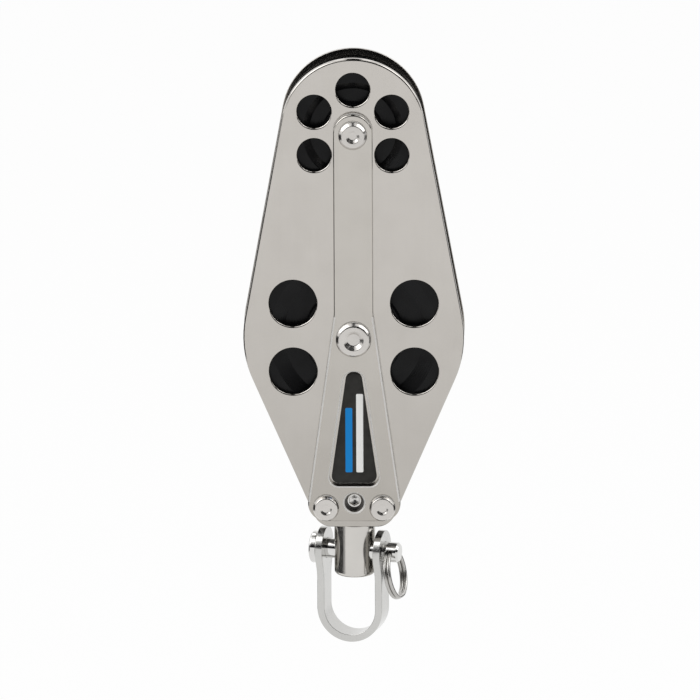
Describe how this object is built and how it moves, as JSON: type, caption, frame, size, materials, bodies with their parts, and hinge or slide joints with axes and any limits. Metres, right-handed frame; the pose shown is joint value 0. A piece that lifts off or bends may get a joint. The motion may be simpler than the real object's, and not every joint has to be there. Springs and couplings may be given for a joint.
{
  "type": "fiddle block",
  "caption": "Steel fiddle block: a small sheave above a large one between riveted cheeks and straps, with a swivel post, shackle, clevis pin and split ring.",
  "frame": {"origin": "centre of the large sheave's axle, midway between the cheeks", "axes": "+Z runs from the large axle to the small one, +Y is along the axles to the back, and -Y is the labelled front"},
  "size_m": [0.0854, 0.0298, 0.2346],
  "materials": {
    "cheek_steel": "satin rolled stainless with polished rounded edges",
    "strap_steel": "satin stainless, a little darker than the cheeks",
    "rivet_steel": "polished formed heads",
    "sheave_black": "turned black acetal",
    "bush_bronze": "plain bearing bronze",
    "sleeve_steel": "ground",
    "washer_plastic": "smooth black acetal",
    "label_dark": "charcoal plate with a satin sheen",
    "block_steel": "machined stainless",
    "screw_steel": "machined stainless",
    "post_steel": "turned and polished stainless",
    "shackle_steel": "polished bent strip",
    "bright_steel": "bright polished"
  },
  "bodies": {
    "block": {"cheek_front": "cheek_steel", "cheek_back": "cheek_steel", "strap_front": "strap_steel", "strap_back": "strap_steel", "label_front": "label_dark", "large_axle": "rivet_steel", "small_axle": "rivet_steel", "head_rivet_left": "rivet_steel", "head_rivet_right": "rivet_steel", "large_axle_sleeve": "sleeve_steel", "large_thrust_washer_front": "washer_plastic", "large_thrust_washer_back": "washer_plastic", "small_axle_sleeve": "sleeve_steel", "small_thrust_washer_front": "washer_plastic", "small_thrust_washer_back": "washer_plastic", "head_block": "block_steel", "set_screw": "screw_steel", "lower_swivel_washer": "washer_plastic", "upper_swivel_washer": "washer_plastic"},
    "large_sheave_body": {"large_sheave": "sheave_black", "large_sheave_bush": "bush_bronze"},
    "small_sheave_body": {"small_sheave": "sheave_black", "small_sheave_bush": "bush_bronze"},
    "swivel_body": {"swivel_post": "post_steel", "swivel_collar": "post_steel", "collar_pin": "bright_steel"},
    "shackle_body": {"shackle": "shackle_steel"},
    "pin_body": {"clevis_pin": "bright_steel"},
    "ring_body": {"split_ring": "bright_steel"}
  },
  "joints": [
    {"name": "large_sheave_spin", "type": "hinge", "parent": "block", "child": "large_sheave_body", "pos_m": [0, 0, 0], "axis": [0, 1, 0], "continuous": true},
    {"name": "small_sheave_spin", "type": "hinge", "parent": "block", "child": "small_sheave_body", "pos_m": [0, 0, 0.0814], "axis": [0, 1, 0], "continuous": true},
    {"name": "swivel", "type": "hinge", "parent": "block", "child": "swivel_body", "pos_m": [0, 0, -0.0764], "axis": [0, 0, 1], "continuous": true},
    {"name": "shackle_pivot", "type": "hinge", "parent": "swivel_body", "child": "shackle_body", "pos_m": [0, 0, -0.0876], "axis": [0.9636, -0.2672, 0], "range_deg": [-100, 100]},
    {"name": "pin_turn", "type": "hinge", "parent": "swivel_body", "child": "pin_body", "pos_m": [0, 0, -0.0876], "axis": [0.9636, -0.2672, 0], "range_deg": [-90, 90]},
    {"name": "ring_swing", "type": "hinge", "parent": "pin_body", "child": "ring_body", "pos_m": [0.01388, -0.00385, -0.0876], "axis": [-0.284, -0.9588, 0], "range_deg": [-10, 105]}
  ]
}
